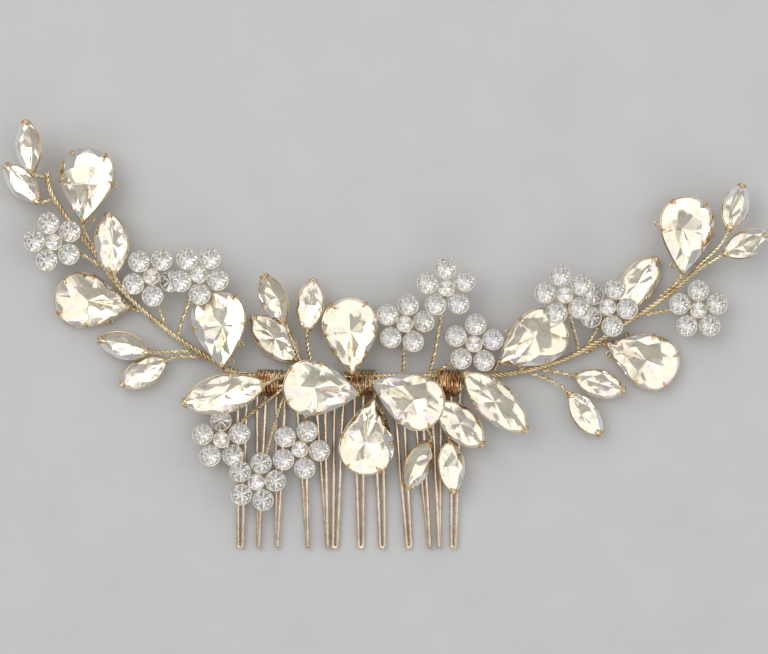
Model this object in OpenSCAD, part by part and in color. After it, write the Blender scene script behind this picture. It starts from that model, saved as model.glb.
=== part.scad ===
// Decorative hair comb: a wire comb whose spine carries a sprayed vine of crystals and small flowers.
// It lies flat: +Z up from the table, +X to the right, teeth towards -Y. All sizes are in millimetres.

/* [Comb] */
// Number of hairpin teeth
tooth_count = 12; // [8:1:12]
// Distance between neighbouring teeth along the spine
tooth_pitch = 4.6; // [4.4:0.1:5.6]
// Length of a tooth from the spine to its tip
tooth_len = 37.8; // [30:0.2:46]
// Diameter of the wire the teeth are bent from
comb_wire_d = 0.9; // [0.7:0.05:1.0]
// Diameter of the spine rod
spine_d = 1.4; // [1.1:0.1:1.7]
// Distance between the two legs of a tooth where they leave the spine
leg_gap = 2.2; // [1.9:0.1:2.4]
// Radius of the bend at a tooth's tip, to the middle of the wire
tip_bend_r = 0.55; // [0.5:0.05:0.7]
// How far the middle of a tooth bows up
tooth_bow = 0.3; // [0:0.1:0.6]

/* [Wires] */
// Diameter of each main vine wire
vine_d = 1.4; // [1.1:0.1:1.7]
// Diameter of the stems that carry the stones
stem_d = 0.9; // [0.7:0.1:1.1]
// Diameter of the binding wire
binding_d = 0.4; // [0.3:0.05:0.5]

/* [Spray] */
// How much the spray is stretched from side to side where it runs on beyond the comb
spray_stretch = 1.0; // [0.95:0.01:1.25]

/* [Pear stones] */
// Length of a pear stone
pear_l = 18; // [14:0.5:18.5]
// Width of a pear stone
pear_w = 13; // [10:0.5:13.5]
// Depth of a pear stone below its girdle
pear_pavilion = 2.6; // [2:0.1:2.8]
// Height of a pear stone above its girdle
pear_crown = 1.7; // [1.3:0.1:2]

/* [Marquise stones] */
// Length of a large marquise stone
large_l = 20.5; // [16:0.5:21]
// Width of a large marquise stone
large_w = 8.8; // [7:0.2:9]
// Length of a medium marquise stone
medium_l = 15; // [12:0.5:15.5]
// Width of a medium marquise stone
medium_w = 7.8; // [6:0.2:8]
// Length of a small marquise stone
small_l = 12.8; // [10:0.4:13.2]
// Width of a small marquise stone
small_w = 6.2; // [5:0.2:6.4]

/* [Settings] */
// Thickness of a setting's floor
floor_t = 0.4; // [0.3:0.05:0.6]
// Width of the seat under a stone's edge
seat_w = 0.45; // [0.35:0.05:0.6]
// Thickness of a claw
claw_t = 0.35; // [0.25:0.05:0.45]
// Clearance between a stone and the metal round it
stone_clearance = 0.05; // [0.03:0.01:0.08]

/* [Flowers] */
// Diameter of a petal stone
petal_d = 4.7; // [3.9:0.1:4.8]
// Diameter of a flower's centre stone
centre_d = 3.6; // [3:0.1:3.7]
// Wall of a round cup
cup_wall = 0.15; // [0.12:0.01:0.2]
// Number of petals
petal_count = 5; // [5:1:5]

/* [Hidden] */

// Sides of a wire's cross-section and steps along each stretch
wire_sides = 8;
stem_sides = 6;
vine_steps = 3;
stem_steps = 8;
// Points round a faceted stone and round a setting's wall
facets = 12;
wall_points = 24;

// Where the spine and the vines run
spine_y = -11.9;
spine_z = 2.4;
spine_x = -8.8;
wrap_clearance = 0.03;
leg_clearance = 0.12;
binding_pitch = 0.6;
binding_turns = 9;
centre_binding_turns = 5;
curl_r = spine_d / 2 + comb_wire_d / 2 + wrap_clearance;
curl_outer_r = curl_r + comb_wire_d / 2;
vine_y = spine_y + curl_outer_r + vine_d / 2 + wrap_clearance;
spine_len = (tooth_count - 1) * tooth_pitch + leg_gap + comb_wire_d + 1.2;
first_tooth_x = spine_x - (tooth_count - 1) * tooth_pitch / 2;
// The outer bindings sit inside the spine's ends, where both vines still run beside it
left_binding_x = max(-30.8, spine_x - spine_len / 2 + 5.45);
right_binding_x = min(12.2, spine_x + spine_len / 2 - 6.45);
centre_binding_x = spine_x - 1;
// A stem that crosses the spine passes over the binding
hop_z = spine_z + curl_outer_r + binding_d + stem_d / 2 + 2 * wrap_clearance;
hop_run = 4;
hop_steps = 3;

// How far each tooth's tip leans along X, and how far it is turned about its own length
TOOTH_LEAN = [-0.5, -0.8, -1, 1.6, 1.7, -1, 0.5, 1, 2.7, 2.9, 0.7, -0.5];
TOOTH_TURN = [20, 75, 70, 80, 80, 15, 0, 10, -20, 75, -80, 25];

// Routes of the two vine wires, from the middle of the comb out to the tips
VINE_LEFT = [
    [-6.6, 0, 0], [-12.4, 0, 0], [-19.7, 0, 0], [-26.9, 0, 0], [-32.1, 0.1, 0], [-37.3, 1.6, 0.3],
    [-43.5, 5.2, 0.6], [-49.7, 9.3, 0.4], [-55.9, 14.2, 0.1], [-61.1, 19, 0.2], [-65.2, 23.8, 0.5],
    [-69.3, 29.8, 1.2], [-73.5, 34.8, 2.1], [-77.3, 40.3, 3], [-79.3, 44.2, 3.7], [-79.8, 48, 4.4]
];
VINE_RIGHT = [
    [-6.4, 0, 0], [2.1, 0, 0], [9.3, 0, 0], [15.5, 0, 0], [20.7, 0, 0], [26.9, 0.3, 0],
    [33, 1.3, -0.1], [38.5, 2.8, -0.2], [44, 4.8, -0.2], [50, 8.1, -0.2], [56, 12.2, 0],
    [62, 15.9, 0.5], [67.5, 20, 1.2], [73, 24.8, 2.1], [77, 27.8, 2.8]
];

// Where each stone sits: X, Y and Z of the middle of its girdle, heading from its stem to its
// outer end, pitch and roll. The last two values are its vine (0 left, 1 right) and the place
// along that vine where its stem starts.
PEARS = [
    [-70.6, 35.4, 8, 86, 12, 0, 0, 11],
    [-69.3, 8.1, 3.25, 171, 0, 0, 0, 8.4],
    [-39.3, 1.4, 6.4, 95, 8, -4, 0, 4.2],
    [-8.4, -0.2, 7, 93, 6, 0, 0, 0.75],
    [-15.1, -12.5, 8.9, 173, 0, 0, 0, 0.05],
    [-4.2, -23.6, 6.8, 262, -3, -6, 1, 0.6],
    [4.8, -14.4, 10.4, 335, 0, 0, 1, 0.3],
    [34.2, -1.6, 6.4, 32, 0, 5, 1, 4.7],
    [60.4, -5.2, 3.25, 338, 0, 0, 1, 8.5],
    [70.6, 23.6, 7.8, 85, 0, 6, 1, 11.6]
];
// Where each pear setting has its wire loops, as places round its outline
PEAR_LOOPS = [[260, 330], [], [320], [], [], [], [], [], [330], [40, 110]];
LARGE = [
    [-38.2, -13.6, 8.7, 193, 0, 0, 0, 2.65],
    [25.8, -15.6, 7.6, 317, 0, 0, 1, 3.4]
];
MEDIUM = [
    [-64.7, 21.7, 6.5, 95, 0, 0, 0, 9.2],
    [-26.4, -0.6, 3.4, 136, 0, 0, 0, 2.2],
    [59.9, 12.5, 2.5, 55, 0, 0, 1, 9.7],
    [17.5, -20.8, 6.2, 316, 0, 0, 1, 2.05]
];
SMALL = [
    [-84, 44.4, 9.4, 96, 0, -14, 0, 14.6],
    [-85.9, 35.9, 6.6, 132, 10, -10, 0, 13.4],
    [-62.1, -2.4, 4.4, 166, 8, -10, 0, 6.3],
    [-57.3, -8.7, 3.6, 209, 0, 0, 0, 6],
    [-26.5, 8.7, 8.4, 112, 0, -14, 0, 1.9],
    [-17.9, 7.3, 5.6, 83, 0, 0, 0, 1.65],
    [7.6, -30.6, 5.4, 245, 0, -18, 1, 1.3],
    [15.5, -30.9, 4.8, 275, 0, -12, 1, 1.6],
    [50.5, -11.3, 3.8, 344, 0, 0, 1, 6.7],
    [47.2, -18.6, 4.2, 307, 6, -12, 1, 6.2],
    [82.1, 30.4, 8.6, 71, 25, 0, 1, 13.1],
    [84.9, 21.7, 8, 24, 12, 0, 1, 13.6]
];
FLOWERS = [
    [-78.2, 22.1, 7.4, 33, 0, 0, 0, 10.5],
    [-55.3, 14, 6.1, -14, 0, 0, 0, 7.5],
    [-43.9, 14.4, 9.1, -16, 0, 0, 0, 7.0],
    [4.4, 2.8, 6.1, 8, 0, 0, 1, 1.25],
    [14.1, 11.2, 9, 21, 0, 0, 1, 2.15],
    [20.7, -1.9, 6.1, 13, 0, 0, 1, 2.35],
    [41.8, 9.6, 9.9, 30, 0, 0, 1, 8.3],
    [52.2, 6.8, 6.4, -5, 0, 0, 1, 8.7],
    [73.6, 6.1, 5.6, 18, 0, 0, 1, 10.85],
    [-38.9, -24.5, 4.9, 19, 0, 0, 0, 2.35],
    [-20.3, -26.7, 5.6, -4, 0, 0, 0, 1.6],
    [-30.6, -34.4, 6.6, 3, 14, 0, 0, 2.1]
];
// Stones and flowers below this Y whose stems start beside the spine have stems that cross it
cross_y = -16;

// Shape of the faceted stones
girdle_t = 0.4;
table_scale = 0.58;
crown_break = 0.84;
crown_break_h = 0.55;
pavilion_break = 0.52;
pavilion_break_h = 0.62;
large_pavilion = 2.1;
large_crown = 1.4;
medium_pavilion = 1.8;
medium_crown = 1.2;
small_pavilion = 1.5;
small_crown = 1.0;
// Shape of the round stones and their cups
round_girdle_t = 0.3;
round_table = 0.56;
round_crown = 0.8;
round_pavilion = 1.3;
cup_floor = 0.3;
spoke_w = 1.4;
spoke_t = 0.2;
// How far a spoke reaches into the floor of each cup it joins
spoke_grip = 0.8;
cup_d = petal_d + 2 * (stone_clearance + cup_wall);
centre_cup_d = centre_d + 2 * (stone_clearance + cup_wall);
petal_ring_r = (cup_d + centre_cup_d) / 2 + wrap_clearance;
cup_depth = round_girdle_t / 2 + round_pavilion + stone_clearance + cup_floor;
// How far a setting's wall stands outside the stone's edge
wall_out = 0.1;
claw_reach = 0.8;
claw_rise = 1.15;
loop_r = 0.75;
loop_hole_r = 0.4;
loop_t = 0.7;

GOLD = [0.83, 0.68, 0.42];
COMB_GOLD = [0.85, 0.72, 0.55];
BINDING_GOLD = [0.72, 0.47, 0.25];
CRYSTAL = [0.93, 0.9, 0.83];
RHINESTONE = [0.94, 0.94, 0.92];

// ---------- vectors ----------

function unit(v) = v / norm(v);
function lerp(a, b, t) = a + (b - a) * t;
// Part of v that is square to the unit vector t, at unit length
function across(v, t) = unit(v - (v * t) * t);
// A vector in a stone's own frame, turned into the comb's frame
function turned(p, v) =
    let (a = [v.x, v.y * cos(p[5]) - v.z * sin(p[5]), v.y * sin(p[5]) + v.z * cos(p[5])])
    let (b = [a.x * cos(p[4]) + a.z * sin(p[4]), a.y, a.z * cos(p[4]) - a.x * sin(p[4])])
    [b.x * cos(p[3]) - b.y * sin(p[3]), b.x * sin(p[3]) + b.y * cos(p[3]), b.z];
// X of a point of the spray, stretched as far as it lies beyond the spine's ends
function stretched(x) =
    let (beyond = max(abs(x - spine_x) - spine_len / 2, 0))
    x + sign(x - spine_x) * beyond * (spray_stretch - 1);
function middle(p) = [stretched(p.x), p.y, p.z];

// ---------- wires ----------

// Point at parameter u on a smooth curve through the points p
function along(p, u) =
    let (i = min(floor(u), len(p) - 2), t = u - i)
    let (a = p[max(i - 1, 0)], b = p[i], c = p[i + 1], d = p[min(i + 2, len(p) - 1)])
    0.5 * (2 * b + (c - a) * t + (2 * a - 5 * b + 4 * c - d) * t * t
        + (3 * b - a - 3 * c + d) * t * t * t);
function smooth(p, steps) = [for (i = [0 : (len(p) - 1) * steps]) along(p, i / steps)];
function bezier(a, b, c, d, steps) = [for (i = [0 : steps]) let (t = i / steps, s = 1 - t)
    s * s * s * a + 3 * s * s * t * b + 3 * s * t * t * c + t * t * t * d];
function tangents(p) = [for (i = [0 : len(p) - 1])
    unit(p[min(i + 1, len(p) - 1)] - p[max(i - 1, 0)])];
// Ring normals carried along a path without twist
function carried(tan, first) =
    [for (i = 0, n = across(first, tan[0]);
          i < len(tan);
          n = across(n, tan[min(i + 1, len(tan) - 1)]), i = i + 1) n];

// A round wire of radius r along the path p; first is any direction square to its start
module wire(p, r, sides, first) {
    tan = tangents(p);
    nrm = carried(tan, first);
    last = len(p) - 1;
    points = [for (i = [0 : last]) for (k = [0 : sides - 1])
        let (a = 360 * (k + 0.5) / sides)
        p[i] + r * (cos(a) * nrm[i] + sin(a) * cross(tan[i], nrm[i]))];
    start = [[for (k = [0 : sides - 1]) k]];
    end = [[for (k = [sides - 1 : -1 : 0]) last * sides + k]];
    skin = [for (i = [0 : last - 1]) for (k = [0 : sides - 1])
        let (a = i * sides + k, b = i * sides + (k + 1) % sides)
        for (face = [[a, a + sides, b], [b, a + sides, b + sides]]) face];
    polyhedron(points, concat(start, skin, end));
}

function on_spine(p) = [stretched(p.x), p.y + vine_y, p.z + spine_z];
function vine_route(side) = [for (p = side == 0 ? VINE_LEFT : VINE_RIGHT) on_spine(p)];

// The twisted comb wire of tooth i: a curl round the spine, a leg, the tip and back again
function tooth_route(i) =
    let (x = first_tooth_x + i * tooth_pitch, lean = TOOTH_LEAN[i], turn = TOOTH_TURN[i])
    let (tip_z = comb_wire_d / 2 + tip_bend_r * abs(sin(turn)))
    let (leg_steps = 5, bend_steps = 6)
    let (curl = [for (a = [170 : -32.5 : -60])
        [leg_gap / 2, 0, 0] + [x, spine_y + curl_r * cos(a), spine_z + curl_r * sin(a)]])
    let (centre = [for (k = [0 : leg_steps]) let (s = k / leg_steps)
        [x + lean * s, spine_y - tooth_len * s,
         lerp(spine_z - curl_r, tip_z, s) + 4 * tooth_bow * s * (1 - s)]])
    let (spread = [for (k = [0 : leg_steps]) let (s = k / leg_steps)
        lerp(leg_gap / 2, tip_bend_r, s) * [cos(turn * s), 0, sin(turn * s)]])
    let (bend = [for (k = [1 : bend_steps - 1]) let (a = 180 * k / bend_steps)
        centre[leg_steps] + tip_bend_r
        * (cos(a) * [cos(turn), 0, sin(turn)] + sin(a) * [0, -1, 0])])
    concat(
        curl,
        [for (k = [0 : leg_steps]) centre[k] + spread[k]],
        bend,
        [for (k = [leg_steps : -1 : 0]) centre[k] - spread[k]],
        [for (k = [len(curl) - 1 : -1 : 0]) curl[k] - [leg_gap, 0, 0]]
    );

// How a stem sets off over the given span from a vine that runs along the unit vector out
function setting_off(span, out) = 0.35 * (span * out) * out + 0.2 * (span - (span * out) * out);
// A stem's route: from the side of its vine at parameter u out to the point at end, which it
// meets along the direction dir. It starts against the vine, further out the more it lies along it.
function stem_route(side, u, end, dir) =
    let (route = vine_route(side))
    let (joint = along(route, u), out = unit(along(route, u + 0.05) - along(route, u - 0.05)))
    let (slant = abs(unit(setting_off(end - joint, out)) * out))
    let (start = joint + (vine_d + slant * stem_d) / 2 * across(end - joint, out))
    let (leave = setting_off(end - start, out), pull = 0.35 * norm(end - start))
    bezier(start, start + leave, end + pull * dir, end, stem_steps);
// A stem that leaves the top of its vine, crosses over the spine and comes down to the teeth
function crossing_route(side, u, end, dir, reach) =
    let (joint = along(vine_route(side), u) + [0, 0, (vine_d + stem_d) / 2])
    let (top = [lerp(joint.x, end.x, 0.1), spine_y, hop_z], far = end.y < spine_y - hop_run - reach)
    let (low = [lerp(joint.x, end.x, 0.4), spine_y - hop_run, end.z])
    smooth(concat([joint, top], far ? [low, end + reach * dir] : [], [end]), hop_steps);
function over_spine(x) = abs(x - spine_x) < spine_len / 2;
function route_to(p, end, dir, reach) =
    p.y < cross_y && over_spine(along(vine_route(p[6]), p[7]).x)
    ? crossing_route(p[6], p[7], end, dir, reach)
    : stem_route(p[6], p[7], end, dir);

// Stem of a claw-set stone: it meets the wall of the setting at the stone's base end
module stone_stem(p, l, depth) {
    end = middle(p) + turned(p, [-l / 2 - wall_out, 0, stem_d / 2 - depth]);
    wire(route_to(p, end, turned(p, [-1, 0, 0]), 2 * stem_d), stem_d / 2, stem_sides, [0, 0, 1]);
}
// Stem of a flower: it runs under the petals to the middle of the frame
module flower_stem(p) {
    under = [0, 0, -cup_depth - stem_d / 2];
    end = middle(p) + turned(p, under);
    away = across(along(vine_route(p[6]), p[7]) - end, turned(p, [0, 0, 1]));
    wire(route_to(p, end, away, petal_ring_r + cup_d / 2), stem_d / 2, stem_sides, [0, 0, 1]);
}

// ---------- stones ----------

// Point on a stone's outline; t = 0 is the stem end at -X and t = 180 the outer end
function pear_point(l, w, t) = [-l / 2 * cos(t), w * 3 * sqrt(3) / 8 * sin(t) * sin(t / 2)];
function marquise_point(l, w, t) =
    let (r = (l * l + w * w) / (4 * w), x = -l / 2 * cos(t))
    [x, sign(round(sin(t) * 1000)) * (sqrt(r * r - x * x) - r + w / 2)];
function edge_point(pear, l, w, t) = pear ? pear_point(l, w, t) : marquise_point(l, w, t);
function outline(pear, l, w, n) = [for (k = [0 : n - 1]) edge_point(pear, l, w, 360 * k / n)];
function ring(pear, l, w, scale, shift, z) = [for (k = [0 : facets - 1])
    let (p = scale * edge_point(pear, l, w, 360 * (k + shift) / facets)) [p.x, p.y, z]];

// Faceted stone: a table, two rows of crown facets, a girdle and two rows of pavilion facets
module cut_stone(pear, l, w, crown, pavilion) {
    n = facets;
    g = girdle_t / 2;
    points = concat(
        ring(pear, l, w, table_scale, 0, g + crown),
        ring(pear, l, w, crown_break, 0.5, g + crown * crown_break_h),
        ring(pear, l, w, 1, 0, g),
        ring(pear, l, w, 1, 0, -g),
        ring(pear, l, w, pavilion_break, 0.5, -g - pavilion * pavilion_break_h),
        [[pear ? l / 10 : 0, 0, -g - pavilion]]
    );
    table = [[for (k = [0 : n - 1]) k]];
    faces = [for (k = [0 : n - 1]) let (j = (k + 1) % n) for (f = [
        [k, n + k, j], [n + k, n + j, j],
        [n + k, 2 * n + k, 2 * n + j], [n + k, 2 * n + j, n + j],
        [2 * n + k, 3 * n + k, 2 * n + j], [3 * n + k, 3 * n + j, 2 * n + j],
        [3 * n + k, 4 * n + k, 3 * n + j], [4 * n + k, 4 * n + j, 3 * n + j],
        [4 * n + k, 5 * n, 4 * n + j]]) f];
    polyhedron(points, concat(table, faces));
}

module placed(p) {
    translate(middle(p)) rotate([p[5], p[4], p[3]]) children();
}

module pear_crystal(i) {
    color(CRYSTAL) placed(PEARS[i]) cut_stone(true, pear_l, pear_w, pear_crown, pear_pavilion);
}
module large_marquise(i) {
    color(CRYSTAL) placed(LARGE[i]) cut_stone(false, large_l, large_w, large_crown, large_pavilion);
}
module medium_marquise(i) {
    color(CRYSTAL) placed(MEDIUM[i])
        cut_stone(false, medium_l, medium_w, medium_crown, medium_pavilion);
}
module small_marquise(i) {
    color(CRYSTAL) placed(SMALL[i]) cut_stone(false, small_l, small_w, small_crown, small_pavilion);
}

// ---------- settings ----------

function setting_depth(pavilion) = girdle_t / 2 + pavilion + stone_clearance + floor_t;
// Outward direction of an outline at t, in degrees
function facing(pear, l, w, t) =
    let (d = edge_point(pear, l, w, t + 1) - edge_point(pear, l, w, t - 1))
    atan2(d.x, -d.y);

module claw(depth, w) {
    g = girdle_t / 2;
    c = stone_clearance;
    rotate([90, 0, 0]) linear_extrude(height = w, center = true) polygon([
        [c, floor_t - depth], [c, g], [c - claw_reach, g + claw_reach * claw_rise],
        [c - claw_reach * 0.75, g + claw_reach * claw_rise + claw_t * 0.7],
        [c + claw_t * 0.6, g + claw_t], [c + claw_t, g - claw_t / 2], [c + claw_t, floor_t - depth]
    ]);
}

// Loop on a setting's wall that a wire can pass through
module side_loop(depth) {
    translate([loop_r - claw_t, 0, floor_t - depth]) difference() {
        cylinder(r = loop_r, h = loop_t, $fn = 24);
        translate([0, 0, -1]) cylinder(r = loop_hole_r, h = loop_t + 2, $fn = 24);
    }
}

// Claw setting: a cup whose rim carries the stone's pavilion, with four claws over the crown
module claw_setting(pear, l, w, pavilion, claw_angles, claw_w, loops) {
    depth = setting_depth(pavilion);
    slope = pavilion * pavilion_break_h / ((1 - pavilion_break) * w / 2);
    rim_z = -girdle_t / 2 - slope * seat_w - stone_clearance;
    union() {
        difference() {
            translate([0, 0, -depth]) linear_extrude(height = depth + rim_z)
                polygon(outline(pear, l + 2 * wall_out, w + 2 * wall_out, wall_points));
            translate([0, 0, floor_t - depth]) linear_extrude(height = depth)
                polygon(outline(pear, l - 2 * seat_w, w - 2 * seat_w, wall_points));
        }
        for (t = claw_angles) {
            at = edge_point(pear, l, w, t);
            translate([at.x, at.y, 0]) rotate([0, 0, facing(pear, l, w, t)]) claw(depth, claw_w);
        }
        for (t = loops) {
            at = edge_point(pear, l, w, t);
            translate([at.x, at.y, 0]) rotate([0, 0, facing(pear, l, w, t)]) side_loop(depth);
        }
    }
}
module pear_setting(i) {
    placed(PEARS[i])
        claw_setting(true, pear_l, pear_w, pear_pavilion, [60, 150, 210, 300], 1.2, PEAR_LOOPS[i]);
}
module large_setting(i) {
    placed(LARGE[i])
        claw_setting(false, large_l, large_w, large_pavilion, [60, 120, 240, 300], 1.1, []);
}
module medium_setting(i) {
    placed(MEDIUM[i])
        claw_setting(false, medium_l, medium_w, medium_pavilion, [60, 120, 240, 300], 1, []);
}
module small_setting(i) {
    placed(SMALL[i])
        claw_setting(false, small_l, small_w, small_pavilion, [60, 120, 240, 300], 0.9, []);
}

module marquise_settings(large, medium, small) {
    color(GOLD) {
        for (i = large) large_setting(i);
        for (i = medium) medium_setting(i);
        for (i = small) small_setting(i);
    }
}

// ---------- flowers ----------

module cup(d) {
    translate([0, 0, -cup_depth]) difference() {
        cylinder(d = d + 2 * (stone_clearance + cup_wall), h = cup_depth, $fn = 48);
        translate([0, 0, cup_floor])
            cylinder(d = d + 2 * stone_clearance, h = cup_depth, $fn = 48);
    }
}
module round_stone(d) {
    g = round_girdle_t / 2;
    rotate_extrude($fn = 48) polygon([
        [0, g + round_crown], [d / 2 * round_table, g + round_crown], [d / 2, g], [d / 2, -g],
        [0, -g - round_pavilion]
    ]);
}
module petals() {
    for (k = [0 : petal_count - 1])
        rotate([0, 0, 360 * k / petal_count]) translate([petal_ring_r, 0, 0]) children();
}

// Flower frame: five petal cups and a centre cup on a star of spokes
module flower_frame(i) {
    color(GOLD) placed(FLOWERS[i]) union() {
        rotate([0, 0, 180 / petal_count]) cup(centre_d);
        petals() cup(petal_d);
        for (k = [0 : petal_count - 1]) rotate([0, 0, 360 * k / petal_count])
            translate([centre_cup_d / 2 - spoke_grip, -spoke_w / 2, (cup_floor - spoke_t) / 2 - cup_depth])
            cube([wrap_clearance + 2 * spoke_grip, spoke_w, spoke_t]);
    }
}
module rhinestones(from, to) {
    color(RHINESTONE) for (i = [from : to]) placed(FLOWERS[i]) {
        round_stone(centre_d);
        petals() round_stone(petal_d);
    }
}

// ---------- comb and wires ----------

module comb_spine() {
    color(COMB_GOLD) translate([spine_x - spine_len / 2, spine_y, spine_z]) rotate([0, 90, 0])
        cylinder(d = spine_d, h = spine_len, $fn = 32);
}
module comb_teeth() {
    color(COMB_GOLD) for (i = [0 : tooth_count - 1])
        wire(tooth_route(i), comb_wire_d / 2, wire_sides, [1, 0, 0]);
}
module vine_wire(side) {
    color(GOLD) wire(smooth(vine_route(side), vine_steps), vine_d / 2, wire_sides, [0, 0, 1]);
}

// Cross-section that holds the curled spine and the vine, grown by the given amount
module binding_outline(grow) {
    translate([spine_y, spine_z]) circle(r = curl_outer_r + wrap_clearance + grow, $fn = 48);
    translate([vine_y, spine_z]) circle(r = vine_d / 2 + wrap_clearance + grow, $fn = 48);
    translate([spine_y, spine_z - vine_d / 2 - wrap_clearance - grow])
        square([vine_y - spine_y, vine_d + 2 * (wrap_clearance + grow)]);
}
// Room for the teeth's legs where they leave the binding
module leg_room() {
    for (i = [0 : tooth_count - 1]) for (side = [-1, 1])
        translate([first_tooth_x + i * tooth_pitch + side * leg_gap / 2, spine_y, spine_z - curl_r])
        translate([0, -leg_clearance, 0]) rotate([90, 0, 0])
        cylinder(r = comb_wire_d / 2 + leg_clearance, h = 2 * curl_outer_r, $fn = 24);
}
// Turns of binding wire round the spine and the vine, from x = from
module binding(from, turns) {
    color(BINDING_GOLD) difference() {
        for (k = [0 : turns - 1]) translate([from + k * binding_pitch, 0, 0])
            rotate([90, 0, 90])
            linear_extrude(height = k < turns - 1 ? binding_pitch : binding_d) difference() {
                binding_outline(binding_d * (k % 2 == 0 ? 1 : 0.7));
                binding_outline(0);
            }
        leg_room();
    }
}

module stems(pears, large, medium, small, flowers) {
    color(GOLD) {
        for (i = pears) stone_stem(PEARS[i], pear_l, setting_depth(pear_pavilion));
        for (i = large) stone_stem(LARGE[i], large_l, setting_depth(large_pavilion));
        for (i = medium) stone_stem(MEDIUM[i], medium_l, setting_depth(medium_pavilion));
        for (i = small) stone_stem(SMALL[i], small_l, setting_depth(small_pavilion));
        for (i = flowers) flower_stem(FLOWERS[i]);
    }
}

comb_spine();
comb_teeth();
vine_wire(0);  // vine_wire_left
vine_wire(1);  // vine_wire_right
binding(left_binding_x, binding_turns);  // binding_left
binding(centre_binding_x, centre_binding_turns);  // binding_centre
binding(right_binding_x, binding_turns);  // binding_right
stems([0, 1, 2], [], [0], [0, 1, 2, 3], [0, 1, 2]);  // stems_left
stems([3, 4, 5, 6], [0, 1], [1, 3], [4, 5, 6, 7], [3, 4, 5, 9, 10, 11]);  // stems_centre
stems([7, 8, 9], [], [2], [8, 9, 10, 11], [6, 7, 8]);  // stems_right
pear_crystal(0);  // pear_crystal_1
pear_crystal(1);  // pear_crystal_2
pear_crystal(2);  // pear_crystal_3
pear_crystal(3);  // pear_crystal_4
pear_crystal(4);  // pear_crystal_5
pear_crystal(5);  // pear_crystal_6
pear_crystal(6);  // pear_crystal_7
pear_crystal(7);  // pear_crystal_8
pear_crystal(8);  // pear_crystal_9
pear_crystal(9);  // pear_crystal_10
large_marquise(0);  // large_marquise_1
large_marquise(1);  // large_marquise_2
medium_marquise(0);  // medium_marquise_1
medium_marquise(1);  // medium_marquise_2
medium_marquise(2);  // medium_marquise_3
medium_marquise(3);  // medium_marquise_4
small_marquise(0);  // small_marquise_1
small_marquise(1);  // small_marquise_2
small_marquise(2);  // small_marquise_3
small_marquise(3);  // small_marquise_4
small_marquise(4);  // small_marquise_5
small_marquise(5);  // small_marquise_6
small_marquise(6);  // small_marquise_7
small_marquise(7);  // small_marquise_8
small_marquise(8);  // small_marquise_9
small_marquise(9);  // small_marquise_10
small_marquise(10);  // small_marquise_11
small_marquise(11);  // small_marquise_12
color(GOLD) for (i = [0, 1, 2]) pear_setting(i);  // pear_settings_left
color(GOLD) for (i = [3, 4, 5, 6]) pear_setting(i);  // pear_settings_centre
color(GOLD) for (i = [7, 8, 9]) pear_setting(i);  // pear_settings_right
marquise_settings([], [0], [0, 1, 2, 3]);  // marquise_settings_left
marquise_settings([0, 1], [1, 3], [4, 5, 6, 7]);  // marquise_settings_centre
marquise_settings([], [2], [8, 9, 10, 11]);  // marquise_settings_right
flower_frame(0);  // flower_frame_1
flower_frame(1);  // flower_frame_2
flower_frame(2);  // flower_frame_3
flower_frame(3);  // flower_frame_4
flower_frame(4);  // flower_frame_5
flower_frame(5);  // flower_frame_6
flower_frame(6);  // flower_frame_7
flower_frame(7);  // flower_frame_8
flower_frame(8);  // flower_frame_9
flower_frame(9);  // flower_frame_10
flower_frame(10);  // flower_frame_11
flower_frame(11);  // flower_frame_12
rhinestones(0, 2);  // rhinestones_left
rhinestones(3, 5);  // rhinestones_centre
rhinestones(6, 8);  // rhinestones_right
rhinestones(9, 11);  // rhinestones_comb
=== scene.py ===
import math
import random

import bmesh
import bpy
import numpy as np
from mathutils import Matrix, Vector


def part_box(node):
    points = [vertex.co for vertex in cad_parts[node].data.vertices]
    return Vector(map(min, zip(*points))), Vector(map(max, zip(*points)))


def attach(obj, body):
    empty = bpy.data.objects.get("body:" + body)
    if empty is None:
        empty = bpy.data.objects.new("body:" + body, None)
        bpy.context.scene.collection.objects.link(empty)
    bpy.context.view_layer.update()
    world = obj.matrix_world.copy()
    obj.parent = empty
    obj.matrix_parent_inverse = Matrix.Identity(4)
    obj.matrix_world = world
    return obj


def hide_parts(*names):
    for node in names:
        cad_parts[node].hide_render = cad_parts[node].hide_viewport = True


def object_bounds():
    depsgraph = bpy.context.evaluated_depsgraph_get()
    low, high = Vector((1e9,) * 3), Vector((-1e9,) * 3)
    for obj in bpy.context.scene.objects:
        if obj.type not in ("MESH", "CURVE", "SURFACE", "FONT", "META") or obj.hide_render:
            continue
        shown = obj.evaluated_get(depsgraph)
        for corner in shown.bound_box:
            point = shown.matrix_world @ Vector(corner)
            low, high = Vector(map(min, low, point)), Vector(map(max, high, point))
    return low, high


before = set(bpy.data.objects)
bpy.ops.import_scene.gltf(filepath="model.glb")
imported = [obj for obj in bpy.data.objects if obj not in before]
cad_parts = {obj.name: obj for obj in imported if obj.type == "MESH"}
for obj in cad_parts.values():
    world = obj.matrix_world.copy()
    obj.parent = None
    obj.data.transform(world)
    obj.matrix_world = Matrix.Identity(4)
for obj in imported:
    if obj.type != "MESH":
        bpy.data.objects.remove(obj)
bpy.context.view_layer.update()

MM = 0.001
UP = Vector((0, 0, 1))

# ---------- sizes and places, as in the CAD part unless a comment says otherwise ----------

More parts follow.
